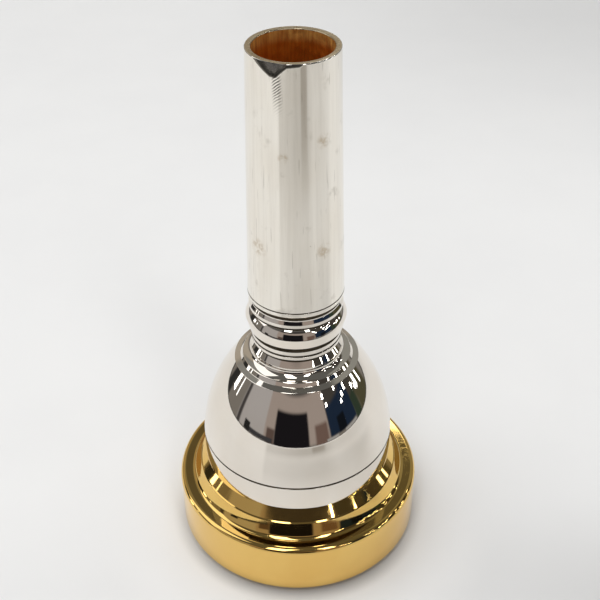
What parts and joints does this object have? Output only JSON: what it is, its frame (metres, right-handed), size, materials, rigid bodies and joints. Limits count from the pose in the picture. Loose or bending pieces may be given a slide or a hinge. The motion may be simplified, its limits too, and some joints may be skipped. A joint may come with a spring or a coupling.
{
  "type": "brass mouthpiece",
  "caption": "Large-shank cup mouthpiece for a low brass instrument: wide gold-plated rim, silver-plated bell-shaped cup with a ringed neck, and a tapered silver shank with an open bore.",
  "frame": {"origin": "centre of the plane that the rim's face rests on", "axes": "+Z along the bore, from the rim towards the tip of the shank; the part stands on its rim as it does when it is set down on a table"},
  "size_m": [0.04, 0.04, 0.085],
  "materials": {
    "gold_plate": "polished gold plate on brass",
    "silver_plate": "polished silver plate on brass",
    "silver_plate_shank": "polished silver plate on brass, bare copper-gold inside the bore"
  },
  "bodies": {
    "rim": {"rim": "gold_plate"},
    "cup": {"cup": "silver_plate"},
    "shank": {"shank": "silver_plate_shank"}
  },
  "joints": [
    {"name": "rim_thread", "type": "slide", "parent": "rim", "child": "cup", "axis": [0, 0, 1], "range_m": [0, 0.0065]},
    {"name": "shank_thread", "type": "slide", "parent": "cup", "child": "shank", "axis": [0, 0, 1], "range_m": [0, 0.0085]}
  ]
}
